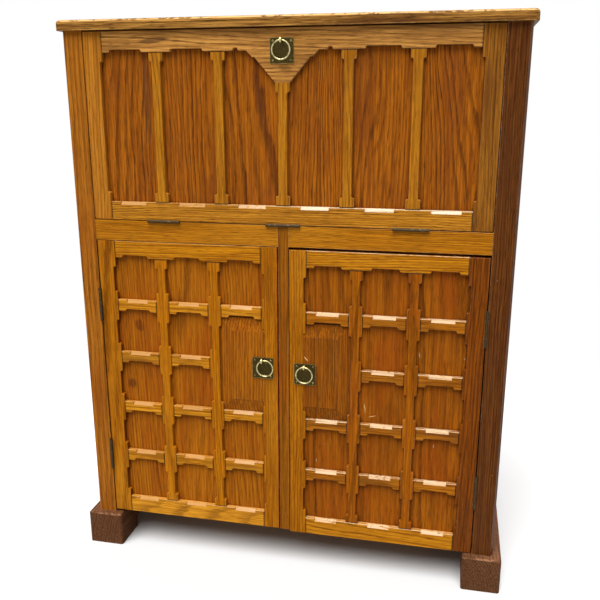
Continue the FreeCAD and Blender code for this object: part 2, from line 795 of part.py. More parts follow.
# ---------------------------------------------------------------- quadrant stays
# A strip bent to a circle about the flap's hinge axis slides through a guide on the post.
stay_outer_x = half_opening - stay_side_inset
stay_inner_x = stay_outer_x - stay_strip_thickness
stay_guide_y = inner_y + stay_guide_gap


def on_stay_circle(x, angle, radius):
    """A point about the hinge axis, at an angle from straight up towards the back."""
    turn = math.radians(angle)
    return V(x, hinge_y + radius * math.sin(turn), fall_axis_z + radius * math.cos(turn))


def stay_track(x_low, x_high, half_strip):
    """A full ring about the hinge axis, from which strip, guide hole and slot are cut."""
    start, end = V(x_low, hinge_y, fall_axis_z), V(x_high, hinge_y, fall_axis_z)
    return cylinder(stay_radius + half_strip, start, end).cut(
        cylinder(stay_radius - half_strip, start, end))


def stay_pin_angle():
    """Where the stop pin is when the flap is closed: it meets the guide's back when down."""
    guide_back = stay_guide_y + stay_guide_depth - hinge_y
    reach = guide_back + stay_pin_radius + stay_pin_clearance
    return math.degrees(math.asin(reach / stay_radius)) + fall_opening_angle


def stay():
    """The strip from the flap's inner face to its end below the bar floor."""
    end_angle = stay_pin_angle() + math.degrees(stay_end_length / stay_radius)
    reach = 2 * stay_radius
    sector = [V(stay_inner_x, hinge_y, fall_axis_z)]
    sector += [on_stay_circle(stay_inner_x, angle, reach)
               for angle in (0, end_angle / 2, end_angle)]
    strip = stay_track(stay_inner_x, stay_outer_x, stay_strip_width / 2)
    strip = strip.common(polygon_prism(sector, X_DIR * stay_strip_thickness))
    strip = strip.cut(block(stay_inner_x, stay_outer_x, inner_y - reach, inner_y,
                            fall_axis_z, fall_axis_z + reach))
    pin_place = on_stay_circle(stay_inner_x, stay_pin_angle(), stay_radius)
    pin = cylinder(stay_pin_radius, pin_place + X_DIR * stay_strip_thickness,
                   pin_place - X_DIR * stay_pin_height)
    return joined([strip, pin, stay_foot()])


def stay_foot():
    """The plate by which the strip is screwed to the flap."""
    rise = math.sqrt(stay_radius ** 2 - (inner_y - hinge_y) ** 2)
    middle_z = fall_axis_z + rise
    return block(stay_outer_x - stay_foot_width, stay_outer_x, inner_y,
                 inner_y + stay_foot_thickness,
                 middle_z - stay_foot_length / 2, middle_z + stay_foot_length / 2)


def stay_guide():
    """A staple on the post's inner face, open along the strip's circle."""
    middle_y = stay_guide_y + stay_guide_depth / 2 - hinge_y
    middle_z = fall_axis_z + math.sqrt(stay_radius ** 2 - middle_y ** 2)
    x_low = stay_inner_x - stay_guide_clearance - stay_guide_wall
    staple = block(x_low, half_opening, stay_guide_y, stay_guide_y + stay_guide_depth,
                   middle_z - stay_guide_height / 2, middle_z + stay_guide_height / 2)
    return staple.cut(stay_track(stay_inner_x - stay_guide_clearance,
                                 stay_outer_x + stay_guide_clearance,
                                 stay_strip_width / 2 + stay_guide_clearance))


def stay_slot():
    """The slot in the bar floor that lets strip and pin through."""
    return stay_track(stay_inner_x - stay_pin_height - stay_slot_clearance,
                      stay_outer_x + stay_slot_clearance,
                      stay_strip_width / 2 + stay_slot_clearance)


# ---------------------------------------------------------------- ring pulls
ring_lean = math.radians(left_ring_lean)        # a leaning wire crosses the bore aslant
eye_bore_radius = (ring_wire_radius / math.cos(ring_lean)
                   + math.tan(ring_lean) * eye_length / 2 + eye_bore_clearance)
eye_stem_wall = (eye_radius - eye_bore_radius) / 2


def pull_plate(x, z):
    """A square plate with a round boss, and the eye that holds the ring."""
    half = pull_plate_size / 2
    front_y = face_y - pull_plate_thickness
    plate = block(x - half, x + half, front_y, face_y, z - half, z + half)
    corners = [edge for edge in plate.Edges if edge.BoundBox.YLength > TOUCHING]
    plate = plate.makeChamfer(pull_plate_corner, corners)
    boss = Part.makeCone(pull_boss_radius, pull_boss_radius - pull_boss_height,
                         pull_boss_height, V(x, front_y, z), Y_DIR * -1)
    eye_place = V(x, front_y - ring_plane_distance, z + ring_axis_rise)
    half_eye = X_DIR * (eye_length / 2)
    eye = cylinder(eye_radius, eye_place - half_eye, eye_place + half_eye)
    stem = cylinder(eye_stem_radius, V(x, front_y, eye_place.z),
                    eye_place + Y_DIR * (eye_bore_radius + eye_stem_wall))
    bore = cylinder(eye_bore_radius, eye_place - half_eye * 2, eye_place + half_eye * 2)
    return joined([plate, boss, eye, stem]).cut(bore)


def pull_ring(x, z, lean=0):
    """The drop ring hangs from the eye; its wire runs through the bore."""
    eye_place = V(x, face_y - pull_plate_thickness - ring_plane_distance, z + ring_axis_rise)
    ring = Part.makeTorus(ring_radius, ring_wire_radius, eye_place - Z_DIR * ring_radius, Y_DIR)
    return ring.rotated(eye_place, Y_DIR, -lean)


def door_pull_z(side):
    drop = right_door_drop + right_pull_drop if side == RIGHT else 0
    return door_bottom_z - drop + door_pull_height


# ---------------------------------------------------------------- magnetic catches
fall_magnet_z = fall_top_z - stop_lap           # both kinds hang under their stop rail
door_magnet_z = mid_rail_bottom_z - door_top_gap - stop_lap


def magnet(x, z):
    y_low = inner_y + strike_thickness + magnet_gap
    return block(x - magnet_width / 2, x + magnet_width / 2, y_low, y_low + magnet_depth,
                 z - magnet_height, z)


def strike(x, z):
    middle = z - magnet_height / 2
    return block(x - strike_width / 2, x + strike_width / 2, inner_y,
                 inner_y + strike_thickness, middle - strike_height / 2,
                 middle + strike_height / 2)


def magnets():
    solids = [magnet(side * fall_magnet_offset, fall_magnet_z) for side in (LEFT, RIGHT)]
    return solids + [magnet(side * door_magnet_offset, door_magnet_z) for side in (LEFT, RIGHT)]


# ---------------------------------------------------------------- the nodes
def export_carcass():
    export("top_slab", top_slab())
    for side, name in ((LEFT, "left"), (RIGHT, "right")):
        export(name + "_foot", foot(side))
        export(name + "_front_post", front_post(side))
        export(name + "_back_post", back_post(side))
    export("side_rails", *side_rails())
    export("side_panels", *side_panels())
    export("mid_rails", *mid_rails())
    export("centre_muntin", centre_muntin())
    export("bar_floor", bar_floor())
    export("bar_shelf", board(back_panel_y - bar_shelf_depth, bar_shelf_bottom_z,
                              shelf_thickness))
    export("cupboard_floor", board(board_y, cupboard_floor_bottom_z, floor_thickness))
    export("cupboard_shelf", board(inner_y + cupboard_shelf_setback, cupboard_shelf_bottom_z,
                                   shelf_thickness))
    export("bearers", *bearers())
    export("stop_rails", *stop_rails())
    export("back_rail", back_rail())
    export("back_panel", back_panel())
    export("fall_hinge_fixed_leaves",
           *on_fall_axis(hinge_leaf(fall_hinge_length, fall_bottom_gap, RIGHT)))
    export("door_hinge_fixed_leaves",
           *door_hinge_leaves(LEFT, RIGHT), *door_hinge_leaves(RIGHT, RIGHT))
    export("hinge_pins", *hinge_pins())
    export("stay_guides", *both_sides(stay_guide()))
    export("catch_magnets", *magnets())


def export_fall():
    export("fall_left_stile", fall_stile(LEFT))
    export("fall_right_stile", fall_stile(RIGHT))
    export("fall_top_rail", fall_top_rail())
    export("fall_bottom_rail", fall_bottom_rail())
    export("fall_muntins", *fall_muntins())
    export("fall_panel", fall_panel())
    export("fall_hinge_moving_leaves",
           *on_fall_axis(hinge_leaf(fall_hinge_length, fall_bottom_gap, LEFT)))
    export("fall_stays", *both_sides(stay()))
    export("fall_strikes", *[strike(side * fall_magnet_offset, fall_magnet_z)
                             for side in (LEFT, RIGHT)])
    export("fall_pull_plate", pull_plate(0, fall_top_z - fall_pull_inset))
    export("fall_ring", pull_ring(0, fall_top_z - fall_pull_inset))


def export_door(side, name):
    export(name + "_hinge_stile", door_hinge_stile(side))
    export(name + "_meeting_stile", door_meeting_stile(side))
    export(name + "_top_rail", door_top_rail(side))
    export(name + "_bottom_rail", door_bottom_rail(side))
    export(name + "_muntins", *door_muntins(side))
    export(name + "_bars", *door_bars(side))
    export(name + "_panel", door_panel(side))
    export(name + "_lock_pad", lock_pad(side))
    export(name + "_hinge_moving_leaves", *door_hinge_leaves(side, LEFT))
    export(name + "_strike", strike(side * door_magnet_offset, door_magnet_z))
    export(name + "_pull_plate", pull_plate(side * door_pull_offset, door_pull_z(side)))
    export(name + "_ring", pull_ring(side * door_pull_offset, door_pull_z(side),
                                     left_ring_lean if side == LEFT else 0))


os.makedirs("parts", exist_ok=True)
export_carcass()
export_fall()
export_door(LEFT, "left_door")
export_door(RIGHT, "right_door")
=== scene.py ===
# %% [markdown]
# # An oak bar cabinet with a fold out shelf
#
# The cabinet arrives as a finished CAD model: every board, hinge leaf and ring is already in
# its place, in metres, with Z up and the front facing -Y. This lesson gives those parts their
# oak, brass and varnish, adds the smallest fixings, and sets up a camera, a floor and lamps.

# %% Load the frame
import bpy
from math import radians
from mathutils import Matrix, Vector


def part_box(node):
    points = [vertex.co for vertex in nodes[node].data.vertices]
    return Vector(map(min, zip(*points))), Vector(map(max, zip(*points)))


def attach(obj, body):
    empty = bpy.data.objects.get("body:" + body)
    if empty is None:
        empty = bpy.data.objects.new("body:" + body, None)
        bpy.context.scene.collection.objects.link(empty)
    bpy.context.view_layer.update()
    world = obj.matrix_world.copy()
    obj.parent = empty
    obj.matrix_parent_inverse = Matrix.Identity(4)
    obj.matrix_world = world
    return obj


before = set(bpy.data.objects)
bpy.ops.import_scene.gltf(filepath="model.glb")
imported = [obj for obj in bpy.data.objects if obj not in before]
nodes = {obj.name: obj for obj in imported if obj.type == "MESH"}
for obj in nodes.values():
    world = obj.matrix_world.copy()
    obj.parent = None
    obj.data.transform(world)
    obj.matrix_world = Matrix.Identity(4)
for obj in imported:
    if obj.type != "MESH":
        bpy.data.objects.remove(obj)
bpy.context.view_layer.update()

# %% [markdown]
# ## The camera
#
# A cabinet of this height is seen here by a person bending down a little, close to it and
# slightly to the right. Lens and place belong together: a longer lens from further away would
# show the uprights more parallel, so both are set as one. The camera is made here, from its
# data block up, so that the view doesn't hang on whatever scene was open before.

# %% Camera
lens_length, sensor_width = 43.64, 36.0
camera_place = (0.3177, -1.5123, 0.9514)
camera_pitch, camera_swing = 74.94, 12.08

eye = bpy.data.cameras.new("eye")
eye.lens, eye.sensor_width = lens_length, sensor_width
viewer = bpy.data.objects.new("viewer", eye)
viewer.location = camera_place
viewer.rotation_euler = (radians(camera_pitch), 0.0, radians(camera_swing))
bpy.context.scene.collection.objects.link(viewer)
bpy.context.scene.camera = viewer
bpy.context.scene.view_settings.view_transform = "Standard"
print("camera at", tuple(round(v, 3) for v in viewer.location))

# %% [markdown]
# ## Shader maths in plain Python
#
# A procedural finish is a graph of nodes. Wired by hand it is hard to read, so a socket is
# wrapped in a small class whose operators add the Math node they stand for. Then a mask can be
# written as `1 - edge * rough` and the graph builds itself.

# %% A socket that adds up
class Level:
    """A number that varies over a surface: sums with it add Math nodes."""

    def __init__(self, finish, link):
        self.finish, self.link = finish, link

    def math(self, operation, *values):
        sockets = dict(enumerate(values))
        return self.finish.node("ShaderNodeMath", {"operation": operation}, sockets)

    def __add__(self, other):
        return self.math("ADD", self, other)

    def __radd__(self, other):
        return self.math("ADD", other, self)

    def __sub__(self, other):
        return self.math("SUBTRACT", self, other)

    def __rsub__(self, other):
        return self.math("SUBTRACT", other, self)

    def __mul__(self, other):
        return self.math("MULTIPLY", self, other)

    def __rmul__(self, other):
        return self.math("MULTIPLY", other, self)

    def __truediv__(self, other):
        return self.math("DIVIDE", self, other)

    def __pow__(self, other):
        return self.math("POWER", self, other)

    def __neg__(self):
        return self.math("MULTIPLY", self, -1.0)

    def __abs__(self):
        return self.math("ABSOLUTE", self)

    def whole(self):
        return self.math("FLOOR", self)

    def fraction(self):
        return self.math("FRACT", self)

    def at_least(self, other):
        return self.math("MAXIMUM", self, other)

    def at_most(self, other):
        return self.math("MINIMUM", self, other)

    def over(self, low, high):
        """0 below low, 1 above high and a smooth step between; low may be the larger."""
        if low > high:
            return 1 - self.over(high, low)
        values = {"Value": self, "From Min": low, "From Max": high}
        return self.finish.node("ShaderNodeMapRange", {"interpolation_type": "SMOOTHSTEP"},
                                values)


print("a level can:", [name.strip("_") for name, what in vars(Level).items() if callable(what)])

# %% [markdown]
# Every other node comes from one method that takes the node's type, its settings and what goes
# into its sockets. The methods after it are a finisher's few tools: laying one colour over
# another, noise, finding the corners of a shape, a spot, a relief and the surface itself. All
# places are Object coordinates: the parts sit at the origin, so these are metres on the
# cabinet, and a pattern keeps its real scale on parts of any size.

# %% A finish and its nodes
class Finish:
    """The node tree of one material, or of the world, in the making."""

    def __init__(self, owner):
        owner.use_nodes = True
        self.owner, self.tree = owner, owner.node_tree
        self.tree.nodes.clear()

    def node(self, kind, settings=None, sockets=None, out=0):
        """Adds a node: its settings first, then the value or link of each socket."""
        made = self.tree.nodes.new(kind)
        for name, value in (settings or {}).items():
            setattr(made, name, value)
        for name, value in (sockets or {}).items():
            if isinstance(value, Level):
                self.tree.links.new(value.link, made.inputs[name])
            else:
                made.inputs[name].default_value = value
        return Level(self, made.outputs[out]) if len(made.outputs) else made

    def point(self):
        """The place on the surface, in metres."""
        return self.node("ShaderNodeTexCoord", out="Object")

    def facing(self):
        """The three numbers of the direction that the surface looks in: right, back, up."""
        return self.split(self.node("ShaderNodeTexCoord", out="Normal"))

    def vector(self, operation, *values, out=0):
        return self.node("ShaderNodeVectorMath", {"operation": operation},
                         dict(enumerate(values)), out)

    def split(self, vector):
        """The three numbers of a vector."""
        return [self.node("ShaderNodeSeparateXYZ", None, {0: vector}, out=name)
                for name in "XYZ"]

    def blend(self, amount, under, over):
        """Colour under, with colour over laid on by amount."""
        return self.node("ShaderNodeMix", {"data_type": "RGBA"},
                         {0: amount, 6: under, 7: over}, out=2)

    def noise(self, place, per_metre, shift=0.0, detail=2.0, roughness=0.5):
        """Noise with its own rate of change per metre along each axis of place."""
        drawn = self.vector("MULTIPLY_ADD", place, per_metre, (shift, shift, shift))
        return self.node("ShaderNodeTexNoise", None, {"Vector": drawn, "Scale": 1.0,
                         "Detail": detail, "Roughness": roughness})

    def luck(self, number, seed):
        """A fixed random level for each whole number."""
        return self.node("ShaderNodeTexWhiteNoise", {"noise_dimensions": "1D"},
                         {"W": number + seed})

    def corner(self, reach, inside=False):
        """1 where another face stands within reach in metres, 0 where it is open. Looked for
        inside the solid, it finds the outer arrises; outside it, the inner corners."""
        settings = {"samples": 6, "inside": inside, "only_local": inside}
        return 1 - self.node("ShaderNodeAmbientOcclusion", settings, {"Distance": reach},
                             out="AO")

    def spot(self, centre, reach, turn=0.0):
        """1 at centre, fading to 0 at the rim of an egg of that reach, turned about Y."""
        place = self.point()
        if turn:
            place = self.node("ShaderNodeVectorRotate", {"rotation_type": "Y_AXIS"},
                              {"Vector": place, "Center": centre, "Angle": radians(turn)})
        away = self.vector("DIVIDE", self.vector("SUBTRACT", place, centre), reach)
        return self.vector("LENGTH", away, out="Value").over(1.0, 0.0)

    def relief(self, height, depth, strength):
        """A bump whose height, from 0 to 1, stands for depth in metres."""
        return self.node("ShaderNodeBump", None,
                         {"Strength": strength, "Distance": depth, "Height": height})

    def surface(self, **sockets):
        """Ends the finish in a Principled surface."""
        names = {name.replace("_", " "): value for name, value in sockets.items()}
        shader = self.node("ShaderNodeBsdfPrincipled", None, names)
        self.node("ShaderNodeOutputMaterial", None, {"Surface": shader})
        return self.owner


print("a finish can:", [name.strip("_") for name, what in vars(Finish).items() if callable(what)])

# %% [markdown]
# Tones are written as on a paint chart, three numbers from 0 to 255. Shaders work in linear
# light, where half as much is half the number, so each tone is turned into that once, here.

# %% Tones
def colour(tone, share=1.0):
    """A tone from 0 to 255, times share, as the linear light that shaders use."""
    def linear(level):
        level = level / 255
        return level / 12.92 if level <= 0.04045 else ((level + 0.055) / 1.055) ** 2.4
    return tuple(linear(level * share) for level in tone) + (1.0,)


print("a mid oak in linear light:", [round(v, 3) for v in colour((170, 108, 32))])

# %% [markdown]
# ## Oak
#
# A tree's growth rings are cylinders, and a board is a flat cut through them. Where the cut
# runs close to the heart of the log, and a little askew, the rings open into long arches;
# further away they are straight lines. So the ring number is worked out as a distance from a
# slanting heart line, which noise bends a little. Each board of a glued panel gets its own
# heart. An image could show all of that, but it would repeat and stretch.

# %% Growth rings
grain_turns = {"Z": "XYZ", "X": "ZYX", "Y": "XZY"}


def grain_place(finish, along):
    """The surface point with its third number along the grain."""
    parts = dict(zip("XYZ", finish.split(finish.point())))
    return finish.node("ShaderNodeCombineXYZ", None,
                       {place: parts[name] for place, name in enumerate(grain_turns[along])})


def growth(finish, place, seed, rings=260.0, board=0.3, first=0.0, lean=0.02, wander=0.03):
    """Ring number at a point of boards glued side by side from first, each board wide. rings
    is about their number in a metre. Each board has its own heart, and rings of its own width,
    because some trees grew faster."""
    heart_reach, heart_depth, arch_range = 2.6, 0.012, 0.9
    across, through, length = finish.split(place)
    bend = finish.noise(place, per_metre=(9.0, 9.0, 2.2), shift=seed) - 0.5
    ripple = finish.noise(place, per_metre=(90.0, 90.0, 14.0), shift=seed + 3.0) - 0.5
    number = ((across - first) / board).whole()
    heart = first + (number - 0.8 + finish.luck(number, seed) * heart_reach) * board
    apex = (finish.luck(number, seed + 31.3) - 0.5) * arch_range
    side = across - heart + bend * wander
    deep = through + (length - apex) * lean + heart_depth
    closeness = (0.4 + 0.9 * finish.luck(number, seed + 47.7)) * rings
    return (side * side + deep * deep) ** 0.5 * closeness + ripple * 0.7 + number * 7.0


print("grain can run along", sorted(grain_turns))

# %% [markdown]
# Oak is ring-porous: the first wood of each year is full of open pores that drink the dark
# stain, so each ring starts with a dark line of short dashes along the grain. All layers of
# one board's pattern are worked out once and kept together, because its colour, its gloss and
# its relief are all drawn from them: an open pore is dark, dull and deep at once.

# %% Pores and streaks
class Grain:
    """The pattern of one board: its pores, and the streaks and fibres between them."""

    def __init__(self, finish, along, seed, **cut):
        self.finish, self.seed = finish, seed
        self.place = grain_place(finish, along)
        ring = growth(finish, self.place, seed, **cut)
        phase = ring.fraction()
        year = finish.luck(ring.whole(), seed)
        self.dash = finish.noise(self.place, per_metre=(500.0, 500.0, 30.0), shift=seed + 5.0)
        self.streak = finish.noise(self.place, per_metre=(330.0, 330.0, 7.0), shift=seed + 7.0,
                                   detail=4.0, roughness=0.7)
        self.fibre = finish.noise(self.place, per_metre=(760.0, 760.0, 40.0), shift=seed + 11.0)
        pores = phase.over(0.0, 0.12) * phase.over(0.6, 0.2) * (0.3 + 0.7 * year)
        self.pores = pores * (0.55 + 0.45 * self.dash.over(0.4, 0.54))
        self.drawn = (self.pores + self.fibre.over(0.54, 0.64) * 0.55).at_most(1.0)


def stained(grain, tones, tint, tinted, lines):
    """Light wood, deep wood and dark lines, with a patchy tint of the varnish."""
    finish = grain.finish
    light, deep, line = tones
    patch = finish.noise(grain.place, per_metre=(16.0, 16.0, 4.0), shift=grain.seed + 17.0,
                         detail=3.0, roughness=0.6)
    wood = finish.blend(grain.streak.over(0.36, 0.62), colour(light), colour(deep))
    wood = finish.blend(patch.over(0.42, 0.7) * tinted, wood, colour(tint))
    return finish.blend(grain.drawn * lines, wood, colour(line))


rust, umber, honey = (150, 66, 10), (92, 52, 24), (200, 132, 30)
print("tints:", {"rust": rust, "umber": umber, "honey": honey})

# %% [markdown]
# ## Painted corner shade, seams and marks
#
# Inner corners are darkened with painted shade, and dust gathers in the joints where one board
# ends against the next and darkens them. Both are found by place: a corner by looking around for
# a near face, a seam by its distance along the grain, which the frame knows. Knots, dark streaks
# and scratches are single events, so each is a soft egg put where it belongs, broken up by the
# grain. One such egg is a painted shadow below the flap's pull plate.

# %% Painted corner shade, seams and marks
frame_front, panel_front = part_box("fall_top_rail")[0].y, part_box("fall_panel")[0].y


def shade_corners_and_seams(grain, wood, dark, corner_shade, seams):
    """The wood with painted shade in its inner corners, and a dark line at each seam, given by its
    distance along the grain from the cabinet's middle, or from the floor."""
    finish = grain.finish
    corner_reach, seam_edge, seam_core = 0.008, 0.0026, 0.0014
    # Painted shade: inner corners darken where another face stands near.
    if corner_shade:
        painted_shade = finish.corner(corner_reach).over(0.2, 0.6) * corner_shade
        wood = finish.blend(painted_shade, wood, dark)
    length = finish.split(grain.place)[2]
    for end in seams:
        line = abs(abs(length) - end).over(seam_edge, seam_core) * 0.85
        wood = finish.blend(line, wood, dark)
    return wood


def mark(at, reach, shade, strength, turn=0, front=panel_front, depth=0.02):
    """A knot, stain, scratch or painted shadow about (x, z) on the front, as far each way as its
    reach.
    """
    (x, z), (wide, high) = at, reach
    return (x, front, z), (wide, depth, high), turn, shade, strength


def marked(grain, wood, marks):
    """The wood with its marks, which follow the streaks of the grain."""
    broken = (grain.streak + grain.dash).over(0.7, 1.0)
    for centre, reach, turn, shade, strength in marks:
        stain = grain.finish.spot(centre, reach, turn) * 1.6 * broken
        wood = grain.finish.blend(stain.over(0.1, 0.9) * strength, wood, colour(shade))
    return wood


print("fronts of frame and panels:", round(frame_front, 4), round(panel_front, 4))

# %% [markdown]
# ## Wear and painted highlights
#
# Where hands, cloths and bottles rub, stain and varnish have gone down to the pale wood. The
# stopped chamfers and the top edges of the bars, never their undersides, are paled as well, partly
# as wear and partly as a painted highlight of the light from above, so these places are found by
# their direction: a chamfer looks up and forward, a ledge looks up. Along every outer arris a thin
# broken line has rubbed through too. Noise eats into the limits of the pale places, because
# varnish flakes and doesn't fade.

# %% Worn edges and painted highlights
# Pale wood for worn arrises, and for chamfers and ledges that are partly painted highlight.
pale_oak_and_glint = ((188, 138, 80), (220, 192, 154))


def ledges_worn_and_lit(finish, flake, spread, glint_and_wear):
    """Chamfers and ledges paled as wear and painted highlight: the more, the lower the flakes'
    limit.
    """
    limit = 0.6 - 0.25 * glint_and_wear
    back, up = finish.facing()[1:]
    # Faces looking up, or up and forward, are paled: part wear, part painted highlight of the
    # light from above.
    chamfer = up.over(0.4, 0.6) * (-back).over(0.4, 0.6)
    chamfer = chamfer * (flake * 0.6 + spread * 0.4).over(limit - 0.03, limit + 0.04)
    ledge = up.over(0.9, 0.97) * (0.2 + 0.8 * flake.over(0.42, 0.62)) * 0.6
    return chamfer + ledge * glint_and_wear


def wear_and_glints(grain, wood, arris, glint_and_wear, nicks, pale_tones_and_glint):
    """The wood with its arrises rubbed by arris, its chamfers and ledges paled by the next amount,
    partly as wear and partly as a painted highlight, and small nicks below the flap. The pale wood
    is paler to the right, where the painted highlight is brighter, and its pores stay dark."""
    finish, seed = grain.finish, grain.seed
    left_end, right_end = -0.22, 0.12
    few_knocks_at, most_knocks_at = 0.8, 0.55
    arris_width, arris_limit = 0.0022, (0.12, 0.5)
    point = finish.point()
    across, _, height = finish.split(point)
    flake = finish.noise(point, per_metre=(110.0, 200.0, 240.0), shift=seed + 23.0, detail=3.0,
                         roughness=0.65)
    spread = finish.noise(point, per_metre=(9.0, 9.0, 9.0), shift=seed + 29.0, detail=1.0)
    pale = finish.blend(across.over(left_end, right_end) * (0.6 + 0.4 * spread),
                        colour(pale_tones_and_glint[0]), colour(pale_tones_and_glint[1]))
    pale = finish.blend(grain.drawn * 0.45, pale, wood)
    rub = finish.corner(arris_width, inside=True).over(*arris_limit) * arris
    rub = rub * (flake * 0.5 + spread * 0.5).over(0.42, 0.6)
    if glint_and_wear:
        rub = rub + ledges_worn_and_lit(finish, flake, spread, glint_and_wear)
    if nicks:
        nick = finish.noise(point, per_metre=(150.0, 150.0, 45.0), shift=seed + 37.0,
                            detail=1.0)
        low_down = height.over(few_knocks_at, most_knocks_at)
        rub = rub + nick.over(0.785, 0.815) * low_down * nicks
    return finish.blend(rub.at_most(0.96), wood, pale)


print("bare oak, left and right:", pale_oak_and_glint)

# %% [markdown]
# ## One function for every oak
#
# Each member of the cabinet was cut from another plank and stained by hand, so no two look the
# same, yet all are one wood. One function makes them all, and only what differs is given: the
# run of the grain, the tones, how strongly its lines are drawn, how much painted shade lies in its
# inner corners, how worn it is and how much painted highlight its chamfers and ledges get. The
# varnish is a thin coat over the wood, duller where it has sunk into the pores.

# %% Oak
finishes = {}


def oak(name, along, tones, tint, seed, lines=0.75, tinted=0.5, corner_shade=0.0, seams=(), sides=None,
        marks=(), arris=0.35, glint_and_wear=0.0, nicks=0.0, pale_tones_and_glint=pale_oak_and_glint, gloss=0.42, coat=0.02,
        **cut):
    """Makes a stained, varnished oak and keeps it under its name. The three tones are those of
    light wood, deep wood and pore lines, and sides is a stain on its edges. The corner amount
    darkens inner corners with painted shade. arris says how far arrises are worn, and the bare
    amount how far chamfers and ledges are paled, as wear and as painted highlight. cut is what
    growth is told about the plank."""
    finish = Finish(bpy.data.materials.new(name))
    grain = Grain(finish, along, seed, **cut)
    wood = stained(grain, tones, tint, tinted, lines)
    if sides:
        beside = abs(finish.facing()[0]).over(0.8, 0.95) * 0.7
        wood = finish.blend(beside, wood, colour(sides))
    wood = shade_corners_and_seams(grain, wood, colour(tones[2], share=0.45), corner_shade, seams)
    wood = marked(grain, wood, marks)
    wood = wear_and_glints(grain, wood, arris, glint_and_wear, nicks, pale_tones_and_glint)
    height = (1 - grain.pores) * 0.6 + grain.streak * 0.3 + grain.fibre * 0.1
    finishes[name] = finish.surface(Base_Color=wood, Roughness=gloss + grain.pores * 0.25,
                                    Coat_Weight=coat, Coat_Roughness=0.3,
                                    Specular_IOR_Level=0.04,
                                    Normal=finish.relief(height, depth=0.0005, strength=0.25))


print("finishes so far:", len(finishes))

# %% [markdown]
# ## The carcass
#
# The top has the widest boards and the hardest life: glasses and sun have bleached it, and its
# top and the upper round of its edge are paled, partly as that wear and partly as a painted
# highlight; its grain stands out most. The posts are narrow and quiet. The feet got a darker
# stain and hardly any varnish. Inside and behind, where nobody looks, the oak was only oiled.

# %% Carcass oaks
oak("slab_oak", "X", ((194, 138, 62), (112, 70, 28), (52, 32, 12)), umber, seed=1.3, rings=200.0,
    wander=0.06, lines=1.0, tinted=0.8, glint_and_wear=0.6, arris=0.5, pale_tones_and_glint=((236, 190, 120),) * 2)
oak("left_post", "Z", ((182, 112, 30), (144, 82, 18), (96, 54, 12)), rust, seed=2.1, tinted=0.3)
oak("right_post", "Z", ((112, 64, 22), (82, 40, 12), (50, 24, 6)), umber, seed=2.9, nicks=0.6)
oak("back_post", "Z", ((128, 74, 26), (90, 48, 16), (60, 30, 8)), umber, seed=2.6)
oak("mid_rail", "X", ((200, 126, 20), (156, 94, 12), (104, 58, 8)), honey, seed=8.2, lines=0.8)
oak("centre", "Z", ((164, 98, 16), (130, 74, 10), (92, 50, 6)), rust, seed=8.8, tinted=0.3)
oak("foot_oak", "Y", ((116, 76, 48), (84, 54, 34), (50, 30, 20)), umber, seed=15.7, glint_and_wear=0.4,
    pale_tones_and_glint=((146, 102, 72),) * 2, coat=0.0, gloss=0.6)
oak("side_oak", "Z", ((150, 88, 30), (108, 60, 18), (70, 34, 10)), rust, seed=16.6, board=0.16,
    lean=0.05, tinted=0.3)
oak("side_rail", "Y", ((146, 88, 30), (104, 58, 18), (70, 36, 12)), umber, seed=17.2)
oak("inside_oak", "X", ((176, 122, 66), (140, 92, 48), (100, 62, 30)), honey, seed=18.3,
    coat=0.0)
oak("back_board", "Z", ((150, 104, 62), (116, 78, 46), (84, 54, 32)), umber, seed=19.4,
    board=0.2, coat=0.0, gloss=0.7)
print("carcass oaks:", len(finishes), "nodes in the top's:",
      len(finishes["slab_oak"].node_tree.nodes))

# %% [markdown]
# ## The flap
#
# A rail's grain runs across and a stile's upright, and a dark seam shows where they meet. The
# tenon of a rail is hidden in the stile, so the seam lies at the stile's inner edge and not at
# the rail's own end. The muntins end on the rails. The panel behind them is glued up of planks
# one bay wide, with a dark band down the right side of the first bay and a dark streak of sap
# in the third. Below the pull plate a shadow is painted on the top rail.

# %% Flap oaks
def ends_of(node):
    """The heights of a part's lower and upper end, where it meets its neighbours."""
    return [corner.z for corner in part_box(node)]


flap_seams = (abs(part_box("fall_left_stile")[1].x),)
smudge = mark(at=(-0.245, 1.065), reach=(0.045, 0.008), shade=(88, 56, 34), strength=0.7,
              turn=6, front=frame_front)
# A painted shadow below the flap's pull plate, falling a little to the right.
plate_shadow = mark(at=(0.006, 1.013), reach=(0.02, 0.012), shade=(104, 64, 28), strength=0.5,
                   turn=-10, front=frame_front)
# A dark band down the right side of the first bay, beside the first muntin.
first_bay_band = mark(at=(-0.266, 0.965), reach=(0.013, 0.13), shade=(84, 50, 30), strength=0.55)
middle_sap = mark(at=(-0.045, 0.95), reach=(0.014, 0.1), shade=(92, 46, 24), strength=0.45,
                  turn=14)

oak("left_stile", "Z", ((198, 128, 40), (162, 98, 26), (108, 64, 18)), honey, seed=3.4)
oak("right_stile", "Z", ((166, 106, 32), (128, 76, 20), (78, 46, 14)), umber, seed=3.9)
oak("top_rail", "X", ((222, 158, 78), (176, 120, 54), (94, 58, 28)), umber, seed=4.4, lean=0.05,
    lines=0.9, seams=flap_seams, marks=(smudge, plate_shadow))
oak("bottom_rail", "X", ((208, 140, 40), (160, 100, 24), (92, 52, 12)), honey, seed=5.2,
    lines=0.9, glint_and_wear=0.75, seams=flap_seams, pale_tones_and_glint=((184, 136, 80), (236, 220, 194)))
oak("fall_muntin", "Z", ((190, 122, 28), (150, 90, 16), (98, 58, 12)), honey, seed=6.1,
    board=0.1208, first=0.0604, seams=ends_of("fall_muntins"))
oak("fall_panel", "Z", ((178, 102, 20), (140, 74, 12), (66, 30, 8)), (120, 58, 22), seed=7.7,
    rings=210.0, board=0.1208, lean=0.035, wander=0.06, lines=0.78, corner_shade=0.5, arris=0.0,
    marks=(first_bay_band, middle_sap))
print("seams of the flap's rails:", [round(end, 4) for end in flap_seams])

